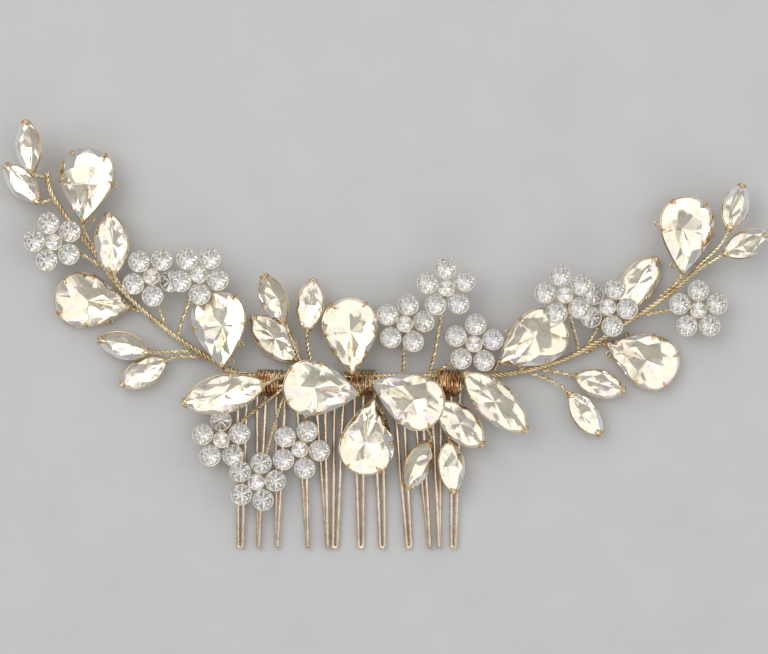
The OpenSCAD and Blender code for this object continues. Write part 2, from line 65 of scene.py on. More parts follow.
TOOTH_COUNT = 12
TOOTH_PITCH = 4.6 * MM
TOOTH_LENGTH = 37.8 * MM
COMB_WIRE_R = 0.45 * MM
LEG_GAP = 2.2 * MM
TIP_BEND_R = 0.55 * MM
TOOTH_BOW = 0.3 * MM
TOOTH_LEAN = [-0.5, -0.8, -1, 1.6, 1.7, -1, 0.5, 1, 2.7, 2.9, 0.7, -0.5]
TOOTH_TURN = [20, 75, 70, 80, 80, 15, 0, 10, -20, 75, -80, 25]
SPINE_AT = Vector((-8.8, -11.9, 2.4)) * MM
SPINE_R = 0.7 * MM
CURL_R = 1.18 * MM
VINE_Y = -9.54 * MM
VINE_R = 0.7 * MM
STEM_R = 0.45 * MM
HOP_Z = 4.94 * MM
HOP_RUN = 4 * MM
GIRDLE = 0.4 * MM
# Clearance below a stone, and its setting's floor
UNDER_CULET = 0.45 * MM

# Routes of the two vine wires in millimetres, measured from the spine's height and the vine's line
VINES = {
    "left": [
        (-6.6, 0, 0), (-12.4, 0, 0), (-19.7, 0, 0), (-26.9, 0, 0), (-32.1, 0.1, 0), (-37.3, 1.6, 0.3),
        (-43.5, 5.2, 0.6), (-49.7, 9.3, 0.4), (-55.9, 14.2, 0.1), (-61.1, 19, 0.2), (-65.2, 23.8, 0.5),
        (-69.3, 29.8, 1.2), (-73.5, 34.8, 2.1), (-77.3, 40.3, 3), (-79.3, 44.2, 3.7), (-79.8, 48, 4.4),
    ],
    "right": [
        (-6.4, 0, 0), (2.1, 0, 0), (9.3, 0, 0), (15.5, 0, 0), (20.7, 0, 0), (26.9, 0.3, 0),
        (33, 1.3, -0.1), (38.5, 2.8, -0.2), (44, 4.8, -0.2), (50, 8.1, -0.2), (56, 12.2, 0),
        (62, 15.9, 0.5), (67.5, 20, 1.2), (73, 24.8, 2.1), (77, 27.8, 2.8),
    ],
}
# The vine of each stone and flower, and the place along it where its stem starts
JOINTS = {
    "pear_crystal": [
        ("left", 11), ("left", 8.4), ("left", 4.2), ("left", 0.75), ("left", 0.05),
        ("right", 0.6), ("right", 0.3), ("right", 4.7), ("right", 8.5), ("right", 11.6),
    ],
    "large_marquise": [("left", 2.65), ("right", 3.4)],
    "medium_marquise": [("left", 9.2), ("left", 2.2), ("right", 9.7), ("right", 2.05)],
    "small_marquise": [
        ("left", 14.6), ("left", 13.4), ("left", 6.3), ("left", 6), ("left", 1.9), ("left", 1.65),
        ("right", 1.3), ("right", 1.6), ("right", 6.7), ("right", 6.2), ("right", 13.1),
        ("right", 13.6),
    ],
    "flower_frame": [
        ("left", 10.5), ("left", 7.5), ("left", 7), ("right", 1.25), ("right", 2.15),
        ("right", 2.35), ("right", 8.3), ("right", 8.7), ("right", 10.85), ("left", 2.35),
        ("left", 1.6), ("left", 2.1),
    ],
}
# Stones and flowers of each group node, by region
REGIONS = {
    "left": {"pear_crystal": range(1, 4), "large_marquise": (), "medium_marquise": (1,),
             "small_marquise": range(1, 5), "flower_frame": range(1, 4)},
    "centre": {"pear_crystal": range(4, 8), "large_marquise": (1, 2), "medium_marquise": (2, 4),
               "small_marquise": range(5, 9), "flower_frame": (4, 5, 6, 10, 11, 12)},
    "right": {"pear_crystal": range(8, 11), "large_marquise": (), "medium_marquise": (3,),
              "small_marquise": range(9, 13), "flower_frame": range(7, 10)},
}
# Each kind of stone: depth below its girdle, height above it, and where its claws stand round its outline.
# Pears and large marquises have six, where the CAD part has four. Only two on each pear are at its places.
PAVILION = {"pear_crystal": 2.6 * MM, "large_marquise": 2.1 * MM, "medium_marquise": 1.8 * MM,
            "small_marquise": 1.5 * MM}
CROWN = {"pear_crystal": 1.7 * MM, "large_marquise": 1.4 * MM, "medium_marquise": 1.2 * MM,
         "small_marquise": 1.0 * MM}
CLAWS = {"pear_crystal": (14, 95, 150, 210, 265, 346), "large_marquise": (22, 75, 158, 202, 285, 338),
         "medium_marquise": (22, 158, 202, 338), "small_marquise": (24, 156, 204, 336)}
# Wire loops at the sides of the pear settings, by stone: eleven, where the CAD part has six
LOOPS = {1: (262, 322), 2: (62,), 3: (322, 292), 8: (70, 300), 9: (322, 60), 10: (40, 105)}


# ---------- materials ----------

# Scale of each noise pattern, roughly its patches to a metre
TARNISH_SCALE = 420
POLISH_SCALE = 1300
DRAWING_SCALE = 5200
TINT_SCALE = 130
SMEAR_SCALE = 900
COATING_SCALE = 330
FOIL_SCALE = 700
GLASS_IOR = 1.56


def nodes_of(material):
    material.use_nodes = True
    tree = material.node_tree
    tree.nodes.clear()
    out = tree.nodes.new("ShaderNodeOutputMaterial")
    shader = tree.nodes.new("ShaderNodeBsdfPrincipled")
    tree.links.new(shader.outputs["BSDF"], out.inputs["Surface"])
    return tree, shader


def noise(tree, scale, detail, distortion=0.0):
    where = tree.nodes.new("ShaderNodeTexCoord")
    tex = tree.nodes.new("ShaderNodeTexNoise")
    tex.inputs["Scale"].default_value = scale
    tex.inputs["Detail"].default_value = detail
    tex.inputs["Distortion"].default_value = distortion
    tree.links.new(where.outputs["Object"], tex.inputs["Vector"])
    return tex.outputs["Fac"]


def ramp(tree, value, stops):
    node = tree.nodes.new("ShaderNodeValToRGB")
    elements = node.color_ramp.elements
    while len(elements) < len(stops):
        elements.new(0.5)
    for element, (place, color) in zip(elements, stops):
        element.position = place
        element.color = (*color, 1)
    tree.links.new(value, node.inputs["Fac"])
    return node.outputs["Color"]


def spread(tree, value, low, high):
    node = tree.nodes.new("ShaderNodeMapRange")
    node.inputs["From Min"].default_value = 0.3
    node.inputs["From Max"].default_value = 0.7
    node.inputs["To Min"].default_value = low
    node.inputs["To Max"].default_value = high
    tree.links.new(value, node.inputs["Value"])
    return node.outputs["Result"]


def bump(tree, shader, value, distance, strength):
    node = tree.nodes.new("ShaderNodeBump")
    node.inputs["Distance"].default_value = distance
    node.inputs["Strength"].default_value = strength
    tree.links.new(value, node.inputs["Height"])
    tree.links.new(node.outputs["Normal"], shader.inputs["Normal"])


def plated_metal(name, dark, middle, light, rough):
    """Plated wire or stamping: tarnish in patches, fine drawing marks, uneven polish"""
    material = bpy.data.materials.new(name)
    tree, shader = nodes_of(material)
    shader.inputs["Metallic"].default_value = 1.0
    patches = noise(tree, TARNISH_SCALE, 4, 0.4)
    tree.links.new(ramp(tree, patches, [(0.3, dark), (0.5, middle), (0.7, light)]),
                   shader.inputs["Base Color"])
    tree.links.new(spread(tree, noise(tree, POLISH_SCALE, 3), rough - 0.07, rough + 0.1),
                   shader.inputs["Roughness"])
    bump(tree, shader, noise(tree, DRAWING_SCALE, 2), 0.03 * MM, 0.2)
    return material


def cut_glass(name, low, high, rough):
    """Clear cut glass with a faint body tint that drifts from stone to stone"""
    material = bpy.data.materials.new(name)
    tree, shader = nodes_of(material)
    shader.inputs["Transmission Weight"].default_value = 1.0
    shader.inputs["IOR"].default_value = GLASS_IOR
    tree.links.new(ramp(tree, noise(tree, TINT_SCALE, 2), [(0.35, low), (0.65, high)]),
                   shader.inputs["Base Color"])
    tree.links.new(spread(tree, noise(tree, SMEAR_SCALE, 2), rough, rough + 0.03), shader.inputs["Roughness"])
    return material


def foil(name, tints, rough):
    """Mirror foil on the back of a stone, with the faint coloured patches of coated glass"""
    material = bpy.data.materials.new(name)
    tree, shader = nodes_of(material)
    shader.inputs["Metallic"].default_value = 1.0
    places = [0.3 + 0.4 * i / (len(tints) - 1) for i in range(len(tints))]
    tree.links.new(ramp(tree, noise(tree, COATING_SCALE, 2, 0.3), list(zip(places, tints))),
                   shader.inputs["Base Color"])
    tree.links.new(spread(tree, noise(tree, FOIL_SCALE, 2), rough, rough + 0.1), shader.inputs["Roughness"])
    return material


COMB_GOLD = plated_metal("comb_gold", (0.72, 0.56, 0.42), (0.88, 0.74, 0.59), (0.95, 0.85, 0.72), 0.24)
VINE_GOLD = plated_metal("vine_gold", (0.62, 0.48, 0.28), (0.82, 0.70, 0.47), (0.92, 0.84, 0.64), 0.27)
BINDING_GOLD = plated_metal("binding_gold", (0.38, 0.17, 0.07), (0.78, 0.52, 0.28), (0.95, 0.79, 0.53),
                            0.3)
SETTING_GOLD = plated_metal("setting_gold", (0.56, 0.36, 0.17), (0.78, 0.58, 0.33), (0.90, 0.77, 0.54),
                            0.27)
FLOWER_GOLD = plated_metal("flower_gold", (0.74, 0.64, 0.47), (0.88, 0.80, 0.65), (0.95, 0.91, 0.80),
                           0.3)
CRYSTAL_GLASS = cut_glass("crystal_glass", (0.99, 0.95, 0.88), (1.0, 0.985, 0.94), 0.01)
RHINESTONE_GLASS = cut_glass("rhinestone_glass", (0.99, 0.985, 0.97), (1.0, 1.0, 0.99), 0.01)
CRYSTAL_FOIL = foil("crystal_foil", [(0.72, 0.65, 0.54), (0.90, 0.84, 0.72), (0.84, 0.86, 0.74),
                                     (0.94, 0.88, 0.77), (0.92, 0.82, 0.78), (0.80, 0.77, 0.84)], 0.1)
RHINESTONE_FOIL = foil("rhinestone_foil", [(0.93, 0.91, 0.88), (0.98, 0.97, 0.95), (0.96, 0.94, 0.97)],
                       0.15)


# ---------- meshes ----------

SHARP_ANGLE = math.radians(38)
# Domed wire ends: how far the end cap stands out and how wide it is, as shares of the wire's radius
CAP_OUT = 0.6
CAP_WIDE = 0.45
# Radius of one strand as a share of the twisted wire's, by the number of strands
STRAND_SHARE = {2: 0.52, 3: 0.47}


class Sheets:
    """Vertices and faces of one piece, gathered from several parts"""

    def __init__(self):
        self.points, self.faces, self.slots = [], [], []

    def add(self, points, faces, slot=0):
        start = len(self.points)
        self.points += [tuple(p) for p in points]
        self.faces += [tuple(start + i for i in face) for face in faces]
        self.slots += [slot] * len(faces)

    def piece(self, name, node, materials, smooth=True):
        mesh = bpy.data.meshes.new(name)
        mesh.from_pydata(self.points, [], self.faces)
        for material in materials:
            mesh.materials.append(material)
        mesh.polygons.foreach_set("material_index", self.slots)
        mesh.update()
        obj = bpy.data.objects.new(name, mesh)
        bpy.context.scene.collection.objects.link(obj)
        if smooth:
            mesh.shade_smooth()
            mesh.set_sharp_from_angle(angle=SHARP_ANGLE)
        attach(obj, "root")
        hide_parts(node)


def ring_faces(rings, sides, closed_path=False):
    faces = []
    for i in range(rings if closed_path else rings - 1):
        for k in range(sides):
            a, b = i * sides, ((i + 1) % rings) * sides
            faces.append((a + k, a + (k + 1) % sides, b + (k + 1) % sides, b + k))
    return faces


def closed_rings(rings, sides):
    """Faces over rings of points, with a cap at each end"""
    faces = ring_faces(rings, sides)
    faces.append(tuple(range(sides))[::-1])
    faces.append(tuple((rings - 1) * sides + k for k in range(sides)))
    return faces


def along(points, u):
    """Point at parameter u on a smooth curve through the points"""
    i = max(min(int(math.floor(u)), len(points) - 2), 0)
    t = u - i
    a, b, c, d = (points[max(i - 1, 0)], points[i], points[i + 1], points[min(i + 2, len(points) - 1)])
    return 0.5 * (2 * b + (c - a) * t + (2 * a - 5 * b + 4 * c - d) * t * t
                  + (3 * b - a - 3 * c + d) * t ** 3)


def even(points, step):
    """The same path with points at equal steps along it"""
    fine = [along(points, i / 12) for i in range((len(points) - 1) * 12 + 1)]
    runs = np.concatenate([[0], np.cumsum([(q - p).length for p, q in zip(fine, fine[1:])])])
    count = max(int(runs[-1] / step), 2)
    wanted = np.linspace(0, runs[-1], count + 1)
    axes = [np.interp(wanted, runs, [p[k] for p in fine]) for k in range(3)]
    return [Vector(p) for p in zip(*axes)]


def carried_frames(path):
    """Tangent and two square directions at each point, carried along without twist"""
    tangents = [(path[min(i + 1, len(path) - 1)] - path[max(i - 1, 0)]).normalized()
                for i in range(len(path))]
    side = tangents[0].orthogonal().normalized()
    frames = []
    for tangent in tangents:
        side = (side - side.dot(tangent) * tangent).normalized()
        frames.append((tangent, side, tangent.cross(side)))
    return frames


def tube(sheets, path, radius, sides):
    """Round wire with domed ends along a path"""
    frames = carried_frames(path)
    centres = [path[0] - frames[0][0] * radius * CAP_OUT, *path,
               path[-1] + frames[-1][0] * radius * CAP_OUT]
    frames = [frames[0], *frames, frames[-1]]
    radii = [radius * CAP_WIDE] + [radius] * len(path) + [radius * CAP_WIDE]
    points = []
    for centre, (_, side, other), r in zip(centres, frames, radii):
        for k in range(sides):
            a = 2 * math.pi * k / sides
            points.append(centre + r * (math.cos(a) * side + math.sin(a) * other))
    sheets.add(points, [f[::-1] for f in closed_rings(len(centres), sides)])


def twisted(sheets, path, radius, turn_length, strands, sides):
    """Wires twisted together along a path, inside the given radius"""
    strand_r = radius * STRAND_SHARE[strands]
    offset = radius - strand_r
    frames = carried_frames(path)
    runs = np.concatenate([[0], np.cumsum([(q - p).length for p, q in zip(path, path[1:])])])
    for n in range(strands):
        route = []
        for point, (_, side, other), run in zip(path, frames, runs):
            a = 2 * math.pi * (run / turn_length + n / strands)
            route.append(point + offset * (math.cos(a) * side + math.sin(a) * other))
        tube(sheets, route, strand_r, sides)


# ---------- stones: their places, from the CAD meshes ----------

def cad_solids(node):
    """Each separate solid of a CAD node, as a bmesh"""
    whole = bmesh.new()
    whole.from_mesh(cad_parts[node].data)
    bmesh.ops.remove_doubles(whole, verts=whole.verts, dist=0.0005 * MM)
    left = set(whole.verts)
    solids = []
    while left:
        start = next(v for v in whole.verts if v in left)
        island, frontier = {start}, [start]
        while frontier:
            vertex = frontier.pop()
            for edge in vertex.link_edges:
                other = edge.other_vert(vertex)
                if other not in island:
                    island.add(other)
                    frontier.append(other)
        left -= island
        faces = {f for v in island for f in v.link_faces}
        corners = [v.co.copy() for v in whole.verts if v in island]
        solids.append((corners, [(f.normal.copy(), f.calc_area()) for f in whole.faces if f in faces]))
    whole.free()
    return solids


def table_normal(facets):
    """Direction of the flat group of facets with the largest area"""
    areas = {}
    for normal, area in facets:
        key = tuple(round(c * 200) for c in normal)
        total, mean = areas.get(key, (0, Vector()))
        areas[key] = (total + area, mean + area * normal)
    return max(areas.values(), key=lambda entry: entry[0])[1].normalized()


class Framed:
    """Something with a middle and three square directions of its own"""

    def place(self, x, y, z):
        return self.middle + self.turned(x, y, z)

    def turned(self, x, y, z):
        return x * self.x + y * self.y + z * self.z


class Stone(Framed):
    """A cut stone's own frame: x towards its outer end, z out of its table"""

    def __init__(self, kind, node):
        corners, facets = cad_solids(node)[0]
        self.kind = kind
        self.z = table_normal(facets)
        pairs = [(p, q) for i, p in enumerate(corners) for q in corners[i + 1:]]
        first, last = max(pairs, key=lambda pair: (pair[0] - pair[1]).length)
        self.middle = (first + last) / 2
        span = last - first
        self.x = (span - span.dot(self.z) * self.z).normalized()
        self.length = abs(span.dot(self.x))
        self.y = self.z.cross(self.x)
        lateral = [(p - self.middle).dot(self.y) for p in corners]
        weight = sum(abs(s) * (p - self.middle).dot(self.x) for p, s in zip(corners, lateral))
        outward = self.middle.dot(self.x) - VINE_Y * self.x.y
        if (weight if kind == "pear_crystal" else outward) < 0:
            self.x, self.y = -self.x, -self.y
        self.width = 2 * max(abs(s) for s in lateral)

    def depth(self):
        """Depth of the stone's setting below the middle of its girdle"""
        return GIRDLE / 2 + PAVILION[self.kind] + UNDER_CULET


def stone_names(kind, numbers):
    return [f"{kind}_{i}" for i in numbers]


STONES = {name: Stone(kind, name)
          for kind in PAVILION for name in stone_names(kind, range(1, len(JOINTS[kind]) + 1))}


def outline_point(stone, t, grow=0.0, scale=1.0):
    """Point at t degrees round a stone's outline, from its stem end, in the stone's plane"""
    length, width = (stone.length + 2 * grow) * scale, (stone.width + 2 * grow) * scale
    a = math.radians(t % 360)
    x = -length / 2 * math.cos(a)
    if stone.kind == "pear_crystal":
        return x, width * 3 * math.sqrt(3) / 8 * math.sin(a) * math.sin(a / 2)
    r = (length ** 2 + width ** 2) / (4 * width)
    y = math.sqrt(max(r * r - x * x, 0)) - r + width / 2
    return x, math.copysign(max(y, 0), math.sin(a))


# ---------- stones: cut glass ----------

# Corners of the table and outer corners of the star facets: share of the outline, share of the crown
TABLE_SCALE = 0.56
STAR_SCALE = 0.80
STAR_HEIGHT = 0.62
# Where a pavilion breaks: share of the outline and share of the depth
LONG_BREAK = (0.46, 0.66)
ROUND_BREAK = (0.55, 0.72)
# Steps of the outline along each half of a main facet
EDGE_STEPS = 4
# Main facets of large and small stones. A pear's culet lies off its middle by a share of its length.
MAINS = {"pear_crystal": 8, "large_marquise": 8, "medium_marquise": 8, "small_marquise": 6}
PEAR_KEEL = 1 / 10


def cut(sheets, place, edge, mains, crown, pavilion, girdle, lower, keel=0.0):
    """Brilliant cut. edge(t, scale) gives the outline, place(x, y, z) puts it in the frame."""
    step = 360 / mains
    girdle_steps = mains * 2 * EDGE_STEPS
    top = girdle / 2 + crown
    star_z = girdle / 2 + crown * STAR_HEIGHT
    lower_scale, lower_depth = lower
    low_z = -girdle / 2 - pavilion * lower_depth
    points = [place(*edge(i * step, TABLE_SCALE), top) for i in range(mains)]
    points += [place(*edge((i + 0.5) * step, STAR_SCALE), star_z) for i in range(mains)]
    points += [place(*edge(k * 360 / girdle_steps, 1), girdle / 2) for k in range(girdle_steps)]
    points += [place(*edge(k * 360 / girdle_steps, 1), -girdle / 2) for k in range(girdle_steps)]
    points += [place(*edge((i + 0.5) * step, lower_scale), low_z) for i in range(mains)]
    points += [place(keel, 0, -girdle / 2 - pavilion)]
    star, upper, under = mains, 2 * mains, 2 * mains + girdle_steps
    deep, culet = under + girdle_steps, under + girdle_steps + mains
    glass = [tuple(range(mains))]
    back = []
    span = 2 * EDGE_STEPS
    for i in range(mains):
        j = (i + 1) % mains
        glass.append((i, star + i, j))
        glass.append((star + i, upper + j * span, j))
        glass.append((i, upper + i * span, star + i))
        for k in range(span):
            a, b = i * span + k, (i * span + k + 1) % girdle_steps
            glass.append((star + i, upper + a, upper + b))
            glass.append((upper + a, under + a, under + b, upper + b))
            back.append((deep + i, under + b, under + a))
        back.append((culet, under + j * span, deep + i))
        back.append((culet, deep + i, under + i * span))
    start = len(sheets.points)
    sheets.add(points, glass, 0)
    sheets.faces += [tuple(start + n for n in face) for face in back]
    sheets.slots += [1] * len(back)


def cut_crystal(name):
    stone = STONES[name]
    sheets = Sheets()
    keel = stone.length * PEAR_KEEL if stone.kind == "pear_crystal" else 0
    cut(sheets, stone.place, lambda t, scale: outline_point(stone, t, 0, scale), MAINS[stone.kind],
        CROWN[stone.kind], PAVILION[stone.kind], GIRDLE, LONG_BREAK, keel)
    sheets.piece(name + "_cut", name, [CRYSTAL_GLASS, CRYSTAL_FOIL], smooth=False)


for stone_name in STONES:
    cut_crystal(stone_name)


# ---------- claw settings ----------

WALL_STEPS = 56
SEAT = 0.45 * MM
FLOOR = 0.4 * MM
# How far the foot of a cup is drawn in, as a share of its stone's width
FOOT_INSET = 0.16
RIM_DROP = 0.1 * MM


def setting_cup(sheets, stone):
    """Stamped cup: flared wall with a rolled rim, closed floor"""
    depth = stone.depth()
    rim = -GIRDLE / 2 - RIM_DROP
    inset = stone.width * FOOT_INSET
    # Each ring: how far it stands outside the stone's outline, and its height
    rings = [
        (-inset, -depth), (-inset * 0.7, -depth), (-0.32 * MM, -depth + 0.18 * depth),
        (-0.02 * MM, -depth * 0.55), (0.1 * MM, rim - 0.3 * MM), (0.2 * MM, rim - 0.1 * MM),
        (0.2 * MM, rim + 0.03 * MM), (0.08 * MM, rim + 0.08 * MM), (-0.06 * MM, rim),
        (-SEAT * 0.8, rim - 0.35 * MM), (-SEAT * 1.3, -depth * 0.6),
        (-inset * 0.9, -depth + FLOOR), (-inset * 1.05, -depth + FLOOR),
    ]
    points = []
    for grow, z in rings:
        for k in range(WALL_STEPS):
            x, y = outline_point(stone, 360 * k / WALL_STEPS, grow)
            points.append(stone.place(x, y, z))
    sheets.add(points, closed_rings(len(rings), WALL_STEPS))


def facing(stone, t):
    """Outward direction of the outline at t, in the stone's plane"""
    (x0, y0), (x1, y1) = outline_point(stone, t - 1), outline_point(stone, t + 1)
    away = Vector((y1 - y0, x0 - x1)).normalized()
    x, y = outline_point(stone, t)
    return away if away.dot(Vector((x, y))) > 0 else -away


# A claw's course: millimetres outside the outline, height, and share of its full width.
# Heights on the wall are shares of the setting's depth. Heights over the stone are in millimetres.
CLAW_ON_WALL = [(0.0, -0.75, 1.0), (0.16, -0.3, 1.0)]
CLAW_OVER_STONE = [(0.24, -0.1, 1.0), (0.2, 0.3, 0.95), (0.0, 0.62, 0.85), (-0.3, 0.86, 0.72),
                   (-0.62, 1.04, 0.6), (-0.84, 1.1, 0.42), (-0.9, 1.1, 0.15)]
CLAW_SIDES = 10
CLAW_THICK = 0.17 * MM
# A claw thins later than it narrows, by this factor
THIN_LATER = 1.2
WIDE_STONE = 8 * MM
WIDE_CLAW = 0.5 * MM
SLIM_CLAW = 0.4 * MM


def claw(sheets, stone, t, size):
    """Tapered claw from the wall up over the stone's edge, with a rounded tip"""
    x, y = outline_point(stone, t)
    out = facing(stone, t)
    depth = stone.depth()
    across = stone.turned(-out.y, out.x, 0)
    path = ([(o, share * depth, taper) for o, share, taper in CLAW_ON_WALL]
            + [(o, height * MM, taper) for o, height, taper in CLAW_OVER_STONE])
    spine = [stone.place(x + out.x * o * MM, y + out.y * o * MM, z) for o, z, _ in path]
    points = []
    for i, (centre, (_, _, taper)) in enumerate(zip(spine, path)):
        tangent = (spine[min(i + 1, len(spine) - 1)] - spine[max(i - 1, 0)]).normalized()
        normal = tangent.cross(across)
        for k in range(CLAW_SIDES):
            a = 2 * math.pi * k / CLAW_SIDES
            points.append(centre + size * taper * math.cos(a) * across
                          + CLAW_THICK * min(taper * THIN_LATER, 1) * math.sin(a) * normal)
    sheets.add(points, closed_rings(len(path), CLAW_SIDES))


def torus(sheets, centre, normal, major, minor, around=20, sides=8):
    side = normal.orthogonal().normalized()
    other = normal.cross(side)
    points = []
    for i in range(around):
        a = 2 * math.pi * i / around
        spoke = math.cos(a) * side + math.sin(a) * other
        for k in range(sides):
            b = 2 * math.pi * k / sides
            points.append(centre + spoke * (major + minor * math.cos(b)) + normal * minor * math.sin(b))
    sheets.add(points, [f[::-1] for f in ring_faces(around, sides, closed_path=True)])


# Side loop: outer and hole radius, how far its centre stands off the girdle and above the setting's floor
LOOP_R = 0.75 * MM
LOOP_HOLE_R = 0.4 * MM
LOOP_OUT = 0.4 * MM
LOOP_UP = 0.75 * MM


def side_loop(sheets, stone, t):
    """Wire loop soldered to the side of a setting"""
    x, y = outline_point(stone, t)
    out = facing(stone, t)
    centre = stone.place(x + out.x * LOOP_OUT, y + out.y * LOOP_OUT, LOOP_UP - stone.depth())
    torus(sheets, centre, stone.z, (LOOP_R + LOOP_HOLE_R) / 2, (LOOP_R - LOOP_HOLE_R) / 2)


def settings(name, node, stones):
    sheets = Sheets()
    for stone_name in stones:
        stone = STONES[stone_name]
        setting_cup(sheets, stone)
        for t in CLAWS[stone.kind]:
            claw(sheets, stone, t, WIDE_CLAW if stone.width > WIDE_STONE else SLIM_CLAW)
        if stone.kind == "pear_crystal":
            for t in LOOPS.get(int(stone_name.split("_")[-1]), ()):
                side_loop(sheets, stone, t)
    sheets.piece(name, node, [SETTING_GOLD])


for region, kinds in REGIONS.items():
    settings(f"pear_claws_{region}", f"pear_settings_{region}",
             stone_names("pear_crystal", kinds["pear_crystal"]))
    settings(f"marquise_claws_{region}", f"marquise_settings_{region}",
             [n for kind in ("large_marquise", "medium_marquise", "small_marquise")
              for n in stone_names(kind, kinds[kind])])


# ---------- flowers ----------

# Round stones: heights above and below the girdle, the girdle, and from its middle up to the table of the
# CAD stone, whose crown is 0.05 mm higher
ROUND_CROWN = 0.75 * MM
ROUND_PAVILION = 1.3 * MM
ROUND_GIRDLE = 0.3 * MM
ROUND_MAINS = 8
TABLE_UP = 0.95 * MM


class RoundStone(Framed):
    """A round stone's own frame, from the corners of its CAD solid"""

    def __init__(self, corners, facets):
        self.z = table_normal(facets)
        low = [min(p[k] for p in corners) for k in range(3)]
        high = [max(p[k] for p in corners) for k in range(3)]
        rough_middle = (Vector(low) + Vector(high)) / 2
        spread_out = [(p - rough_middle) - (p - rough_middle).dot(self.z) * self.z for p in corners]
        self.r = max(v.length for v in spread_out)
        heights = [(p - rough_middle).dot(self.z) for p in corners]
        self.middle = rough_middle + (max(heights) - TABLE_UP) * self.z
        self.x = self.z.orthogonal().normalized()
        self.y = self.z.cross(self.x)


ROUND_STONES = {node: [RoundStone(*solid) for solid in cad_solids(node)]
                for node in ("rhinestones_left", "rhinestones_centre", "rhinestones_right",
                             "rhinestones_comb")}
CUP_DEPTH = 1.8 * MM
CUP_WALL = 0.2 * MM
# Beads round each stone, and a bead's half sizes out, sideways and up
BEADS = 4
BEAD_SIZE = (0.3 * MM, 0.22 * MM, 0.2 * MM)
BEAD_ROWS = 5
BEAD_SIDES = 8
# Spokes under a flower: where each starts in the heart's radius and ends in the petal's
SPOKE_FROM = 0.4
SPOKE_TO = 0.9
SPOKE_HALF_WIDTH = 0.55 * MM
SPOKE_HEIGHT = 0.25 * MM


def lathe(sheets, stone, profile, sides=32):
    """Turned shape round a stone's axis, from a profile of radii and heights"""
    points = [stone.place(r * math.cos(2 * math.pi * k / sides), r * math.sin(2 * math.pi * k / sides), z)
              for r, z in profile for k in range(sides)]
    sheets.add(points, closed_rings(len(profile), sides))


def flower_cup(sheets, stone):
    r = stone.r
    lathe(sheets, stone, [
        (r * 0.5, -CUP_DEPTH), (r * 0.82, -CUP_DEPTH), (r * 0.97, -CUP_DEPTH * 0.82),
        (r + CUP_WALL * 0.8, -CUP_DEPTH * 0.35), (r + CUP_WALL, -0.1 * MM), (r + CUP_WALL, 0.04 * MM),
        (r + CUP_WALL * 0.6, 0.14 * MM), (r + 0.02 * MM, 0.12 * MM), (r + 0.01 * MM, -0.3 * MM),
        (r * 0.9, -CUP_DEPTH + 0.35 * MM), (r * 0.5, -CUP_DEPTH + 0.3 * MM),
    ])


def bead_claw(sheets, stone, angle):
    """Small bead of metal pushed over a round stone's edge"""
    out = math.cos(angle) * stone.x + math.sin(angle) * stone.y
    centre = stone.middle + out * (stone.r - 0.02 * MM) + stone.z * 0.2 * MM
    side = stone.z.cross(out)
    reach, half_width, half_height = BEAD_SIZE
    points = []
    for i in range(BEAD_ROWS):
        a = math.pi * (i + 0.5) / BEAD_ROWS
        for k in range(BEAD_SIDES):
            b = 2 * math.pi * k / BEAD_SIDES
            points.append(centre + reach * math.cos(a) * out
                          + half_width * math.sin(a) * math.cos(b) * side
                          + half_height * math.sin(a) * math.sin(b) * stone.z)
    sheets.add(points, [f[::-1] for f in closed_rings(BEAD_ROWS, BEAD_SIDES)])


def box_between(sheets, start, end, up, half_width, height):
    run = (end - start).normalized()
    side = up.cross(run).normalized()
    points = [p + s * half_width * side + h * height * up
              for p in (start, end) for s in (-1, 1) for h in (0, 1)]
    sheets.add(points, [(0, 2, 3, 1), (4, 5, 7, 6), (0, 4, 6, 2), (1, 3, 7, 5), (0, 1, 5, 4), (2, 6, 7, 3)])


FLOWERS = []
for number in range(1, len(JOINTS["flower_frame"]) + 1):
    low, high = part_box(f"flower_frame_{number}")
    centre = (low + high) / 2
    near = sorted((s for group in ROUND_STONES.values() for s in group),
                  key=lambda s: (s.middle - centre).length)[:6]
    heart = min(near, key=lambda s: s.r)
    FLOWERS.append((heart, [s for s in near if s is not heart]))

for number, (heart, petals) in enumerate(FLOWERS, 1):
    sheets = Sheets()
    for stone in (heart, *petals):
        flower_cup(sheets, stone)
        for k in range(BEADS):
            bead_claw(sheets, stone, 2 * math.pi * (k + 0.5) / BEADS)
    for petal in petals:
        away = (petal.middle - heart.middle).normalized()
        base = heart.middle - heart.z * (CUP_DEPTH + 0.02 * MM)
        box_between(sheets, base + away * heart.r * SPOKE_FROM,
                    base + away * (heart.r + petal.r * SPOKE_TO), heart.z, SPOKE_HALF_WIDTH, SPOKE_HEIGHT)
    sheets.piece(f"flower_cups_{number}", f"flower_frame_{number}", [FLOWER_GOLD])


def circle_point(r, t):
    return r * math.cos(math.radians(t)), r * math.sin(math.radians(t))


for node, stones in ROUND_STONES.items():
    sheets = Sheets()
    for stone in stones:
        cut(sheets, stone.place, lambda t, scale: circle_point(stone.r * scale, t), ROUND_MAINS,
            ROUND_CROWN, ROUND_PAVILION, ROUND_GIRDLE, ROUND_BREAK)
    sheets.piece(f"{node}_cut", node, [RHINESTONE_GLASS, RHINESTONE_FOIL], smooth=False)


# ---------- wires ----------

def vine_points(side):
    return [Vector((x, y, z)) * MM + Vector((0, VINE_Y, SPINE_AT.z)) for x, y, z in VINES[side]]


def bezier(a, b, c, d, steps):
    return [a * (1 - t) ** 3 + 3 * b * t * (1 - t) ** 2 + 3 * c * t * t * (1 - t) + d * t ** 3
            for t in (i / steps for i in range(steps + 1))]


def across(v, t):
    return (v - v.dot(t) * t).normalized()


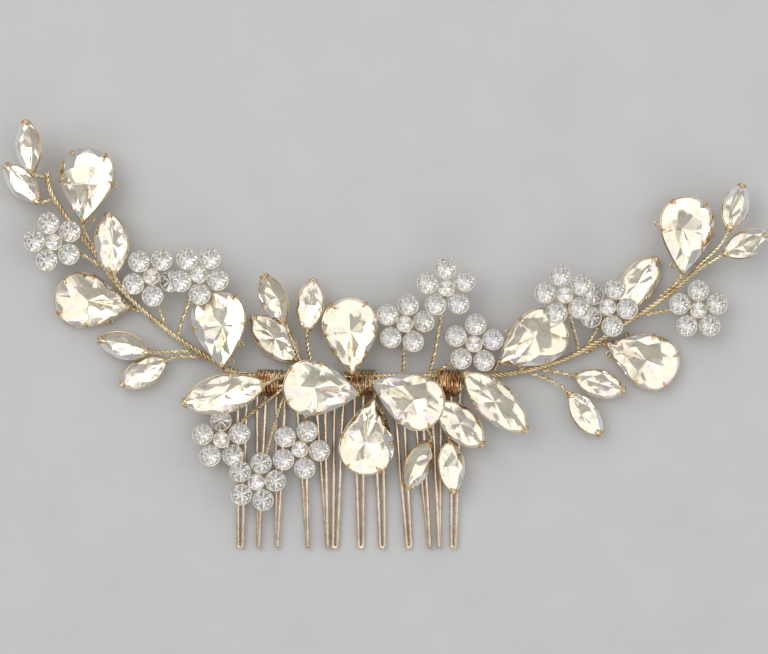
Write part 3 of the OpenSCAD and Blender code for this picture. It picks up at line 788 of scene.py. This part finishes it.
def stem_route(side, u, end, way_in, reach, crosses):
    route = vine_points(side)
    joint = along(route, u)
    if crosses:
        joint = joint + UP * (VINE_R + STEM_R)
        top = Vector((joint.x + 0.1 * (end.x - joint.x), SPINE_AT.y, HOP_Z))
        low = Vector((joint.x + 0.4 * (end.x - joint.x), SPINE_AT.y - HOP_RUN, end.z))
        far = end.y < SPINE_AT.y - HOP_RUN - reach
        return [joint, top, *([low, end + reach * way_in] if far else []), end]
    out = (along(route, u + 0.05) - along(route, u - 0.05)).normalized()
    start = joint + (VINE_R + STEM_R * 0.6) * across(end - joint, out)
    span = end - start
    leave = 0.35 * span.dot(out) * out + 0.2 * (span - span.dot(out) * out)
    return bezier(start, start + leave, end + 0.35 * span.length * way_in, end, 8)


# Stems to pieces on the teeth's side of this Y cross the spine, if they start this near to its middle
CROSS_Y = -16 * MM
CROSS_HALF_RUN = 27.4 * MM
# Straight run of a stem into a flower or a stone
FLOWER_REACH = 7.1 * MM
STONE_REACH = 1.8 * MM
STEM_STEP = 0.22 * MM
STEM_TWIST = 2.3 * MM
VINE_STEP = 0.25 * MM
VINE_TWIST = 3.6 * MM


def stems(region, kinds):
    sheets = Sheets()
    for kind, numbers in kinds.items():
        for number in numbers:
            side, u = JOINTS[kind][number - 1]
            joint = along(vine_points(side), u)
            if kind == "flower_frame":
                heart = FLOWERS[number - 1][0]
                middle = heart.middle
                end = middle - heart.z * (CUP_DEPTH + STEM_R)
                way_in = across(joint - end, heart.z)
                reach = FLOWER_REACH
            else:
                stone = STONES[f"{kind}_{number}"]
                middle = stone.middle
                end = stone.place(-stone.length / 2 + 0.5 * MM, 0, STEM_R - stone.depth() * 0.8)
                way_in = -stone.x
                reach = STONE_REACH
            crosses = middle.y < CROSS_Y and abs(joint.x - SPINE_AT.x) < CROSS_HALF_RUN
            route = even(stem_route(side, u, end, way_in, reach, crosses), STEM_STEP)
            twisted(sheets, route, STEM_R * 1.05, STEM_TWIST, strands=2, sides=8)
    sheets.piece(f"twisted_stems_{region}", f"stems_{region}", [VINE_GOLD])


for region, kinds in REGIONS.items():
    stems(region, kinds)

for side in VINES:
    sheets = Sheets()
    twisted(sheets, even(vine_points(side), VINE_STEP), VINE_R * 1.02, VINE_TWIST, strands=3, sides=10)
    sheets.piece(f"twisted_vine_{side}", f"vine_wire_{side}", [VINE_GOLD])


# Angles of a hairpin's curl round the spine, in degrees
HOOK_ANGLES = range(170, -91, -20)


def tooth_route(i):
    """One hairpin: a leg down from the spine, the tip and the other leg back up"""
    x = SPINE_AT.x + (i - (TOOTH_COUNT - 1) / 2) * TOOTH_PITCH
    lean, turn = TOOTH_LEAN[i] * MM, math.radians(TOOTH_TURN[i])
    tip_z = COMB_WIRE_R + TIP_BEND_R * abs(math.sin(turn))
    legs = [s / 10 for s in range(11)]

    def centre(s):
        z = (SPINE_AT.z - CURL_R) * (1 - s) + tip_z * s + 4 * TOOTH_BOW * s * (1 - s)
        return Vector((x + lean * s, SPINE_AT.y - TOOTH_LENGTH * s, z))

    def half(s):
        return (LEG_GAP / 2 * (1 - s) + TIP_BEND_R * s) * Vector((math.cos(turn * s), 0, math.sin(turn * s)))

    def bend(a):
        flat = Vector((math.cos(turn), 0, math.sin(turn)))
        return centre(1) + TIP_BEND_R * (math.cos(a) * flat + math.sin(a) * Vector((0, -1, 0)))

    hook = [Vector((x + LEG_GAP / 2, SPINE_AT.y + CURL_R * math.cos(a), SPINE_AT.z + CURL_R * math.sin(a)))
            for a in (math.radians(d) for d in HOOK_ANGLES)]
    first = hook + [centre(s) + half(s) for s in legs[1:]]
    tip = [bend(math.pi * k / 8) for k in range(1, 8)]
    second = [centre(s) - half(s) for s in reversed(legs[1:])]
    return first + tip + second + [p - Vector((LEG_GAP, 0, 0)) for p in reversed(hook)]


sheets = Sheets()
for i in range(TOOTH_COUNT):
    route = tooth_route(i)
    tube(sheets, [along(route, k / 3) for k in range((len(route) - 1) * 3 + 1)], COMB_WIRE_R, 12)
sheets.piece("hairpin_teeth", "comb_teeth", [COMB_GOLD])


def coil(start_x, end_x, outline, pitch, points_a_turn):
    """Path that winds round an outline of (y, z) points from start_x to end_x"""
    count = int((end_x - start_x) / pitch * points_a_turn)
    path = []
    for i in range(count + 1):
        y, z = outline(i / points_a_turn % 1)
        path.append(Vector((start_x + (end_x - start_x) * i / count, y, z)))
    return path


sheets = Sheets()
low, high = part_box("comb_spine")
rod = [Vector((low.x + SPINE_R + (high.x - low.x - 2 * SPINE_R) * i / 30, SPINE_AT.y, SPINE_AT.z))
       for i in range(31)]
tube(sheets, rod, SPINE_R, 20)
WINDING_R = 0.3 * MM
# Room that a winding leaves for the curls on both sides of its gap
CURL_ROOM = 2.1 * COMB_WIRE_R
SHORTEST_WINDING = 0.2 * MM


def round_spine(turn):
    r, a = SPINE_R + WINDING_R, -2 * math.pi * turn
    return SPINE_AT.y + r * math.cos(a), SPINE_AT.z + r * math.sin(a)


for gap in range(TOOTH_COUNT - 1):
    from_x = SPINE_AT.x + (gap - (TOOTH_COUNT - 1) / 2) * TOOTH_PITCH + LEG_GAP / 2 + CURL_ROOM
    to_x = from_x + TOOTH_PITCH - LEG_GAP - 2 * CURL_ROOM
    if to_x - from_x > SHORTEST_WINDING:
        tube(sheets, coil(from_x, to_x, round_spine, 2.1 * WINDING_R, 14), WINDING_R, 8)
sheets.piece("wound_spine", "comb_spine", [COMB_GOLD])


def binding_outline(turn, wire_r):
    """Belt round the curled spine and the vine: a big arc, a flat run, a small arc and back"""
    big, small = CURL_R + COMB_WIRE_R + wire_r, VINE_R + wire_r
    gap = VINE_Y - SPINE_AT.y
    lean = math.asin((big - small) / gap)
    arc_big, arc_small = (math.pi + 2 * lean) * big, (math.pi - 2 * lean) * small
    flat = math.sqrt(gap ** 2 - (big - small) ** 2)
    leave = -math.pi / 2 + lean

    def at_spine(a):
        return SPINE_AT.y + big * math.cos(a), SPINE_AT.z + big * math.sin(a)

    def at_vine(a):
        return VINE_Y + small * math.cos(a), SPINE_AT.z + small * math.sin(a)

    def between(p, q, s):
        return p[0] + (q[0] - p[0]) * s, p[1] + (q[1] - p[1]) * s

    run = turn * (arc_big + arc_small + 2 * flat)
    if run < arc_big:
        return at_spine(math.pi / 2 - lean + run / big)
    run -= arc_big
    if run < flat:
        return between(at_spine(leave), at_vine(leave), run / flat)
    run -= flat
    if run < arc_small:
        return at_vine(leave + run / small)
    return between(at_vine(-leave), at_spine(-leave), (run - arc_small) / flat)


BINDING_R = 0.2 * MM
LOOSE_R = 0.17 * MM
# Each binding's loose upper turns run on past its tight ones by these lengths, left and right
LOOSE_RUN = {"left": (0.3 * MM, 1.2 * MM), "centre": (0.2 * MM, 4.6 * MM), "right": (1.6 * MM, 0.2 * MM)}
# Loose layers: pitch, part of a turn that it starts ahead, wire radii above the tight turns, slant
LOOSE_LAYERS = [(1.3 * MM, 0.0, 0.8, -0.9 * MM), (0.9 * MM, 0.3, 2.1, 1.1 * MM)]
# A loose wire's drift: how much of it carries on to the next point, and the most that is added there
DRIFT_KEPT = 0.93
DRIFT_ADDED = 0.1
COIL_STEPS = 40

random.seed(7)
for where in ("left", "centre", "right"):
    low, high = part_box(f"binding_{where}")
    sheets = Sheets()
    belt = coil(low.x + BINDING_R, high.x - BINDING_R, lambda t: binding_outline(t, BINDING_R),
                2.15 * BINDING_R, COIL_STEPS)
    tube(sheets, belt, BINDING_R, 8)
    left_run, right_run = LOOSE_RUN[where]
    for pitch, ahead, above, slant in LOOSE_LAYERS:
        lift = 2 * BINDING_R + LOOSE_R * above
        loose = coil(low.x - left_run + LOOSE_R, high.x + right_run - LOOSE_R,
                     lambda t: binding_outline((t + ahead) % 1, lift), pitch, COIL_STEPS)
        drift = [0.0]
        for _ in loose[1:]:
            drift.append(DRIFT_KEPT * drift[-1] + random.uniform(-DRIFT_ADDED, DRIFT_ADDED) * MM)
        loose = [p + Vector((d + slant * math.sin(2 * math.pi * i / COIL_STEPS), 0, 0))
                 for i, (p, d) in enumerate(zip(loose, drift))]
        tube(sheets, loose, LOOSE_R, 7)
    sheets.piece(f"wound_binding_{where}", f"binding_{where}", [BINDING_GOLD])


# ---------- stage, light and camera ----------

def floor_material():
    material = bpy.data.materials.new("pale_floor")
    tree, shader = nodes_of(material)
    tree.links.new(ramp(tree, noise(tree, 60, 4), [(0.3, (0.60, 0.61, 0.625)), (0.7, (0.63, 0.64, 0.655))]),
                   shader.inputs["Base Color"])
    shader.inputs["Roughness"].default_value = 0.7
    bump(tree, shader, noise(tree, 2500, 3), 0.05 * MM, 0.25)
    return material


FLOOR_HALF = 1.5
FLOOR_GAP = 0.02 * MM
floor_mesh = bpy.data.meshes.new("floor")
floor_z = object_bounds()[0].z - FLOOR_GAP
floor_mesh.from_pydata([(-FLOOR_HALF, -FLOOR_HALF, floor_z), (FLOOR_HALF, -FLOOR_HALF, floor_z),
                        (FLOOR_HALF, FLOOR_HALF, floor_z), (-FLOOR_HALF, FLOOR_HALF, floor_z)],
                       [], [(0, 1, 2, 3)])
floor_mesh.materials.append(floor_material())
floor = bpy.data.objects.new("floor", floor_mesh)
bpy.context.scene.collection.objects.link(floor)


def softbox(name, where, size, power, color=(1, 1, 1)):
    light = bpy.data.lights.new(name, "AREA")
    light.shape = "RECTANGLE"
    light.size, light.size_y = size
    light.energy = power
    light.color = color
    obj = bpy.data.objects.new(name, light)
    obj.location = where
    obj.rotation_euler = (Vector((0, 0, 0)) - Vector(where)).to_track_quat("-Z", "Y").to_euler()
    bpy.context.scene.collection.objects.link(obj)


softbox("key", (-0.45, 0.35, 0.8), (0.8, 0.65), 2.9, (1.0, 0.98, 0.94))
softbox("fill", (0.65, 0.1, 0.6), (0.5, 0.8), 1.05)
softbox("front", (0.05, -0.7, 0.55), (0.9, 0.45), 1.05)
softbox("back", (0.15, 0.8, 0.45), (0.9, 0.4), 0.95)
softbox("ceiling", (0.15, 0.1, 1.3), (0.9, 0.7), 1.7)

WORLD_COLOR = (0.88, 0.865, 0.84, 1)
WORLD_STRENGTH = 0.46
world = bpy.data.worlds.new("studio")
world.use_nodes = True
world.node_tree.nodes["Background"].inputs["Color"].default_value = WORLD_COLOR
world.node_tree.nodes["Background"].inputs["Strength"].default_value = WORLD_STRENGTH
bpy.context.scene.world = world
bpy.context.scene.view_settings.view_transform = "Standard"

# The camera looks straight down. Its view is as wide as the object and a small margin.
VIEW_WIDTH = 181.2 * MM
VIEW_CENTRE = Vector((-0.5, 2.1, 5)) * MM
CAMERA_RISE = 0.7
SENSOR_WIDTH = 36
camera_data = bpy.data.cameras.new("camera")
camera_data.sensor_width = SENSOR_WIDTH
camera_data.lens = SENSOR_WIDTH * CAMERA_RISE / VIEW_WIDTH
camera_data.clip_start = 0.01
camera = bpy.data.objects.new("camera", camera_data)
camera.location = VIEW_CENTRE + Vector((0, 0, CAMERA_RISE))
bpy.context.scene.collection.objects.link(camera)
bpy.context.scene.camera = camera
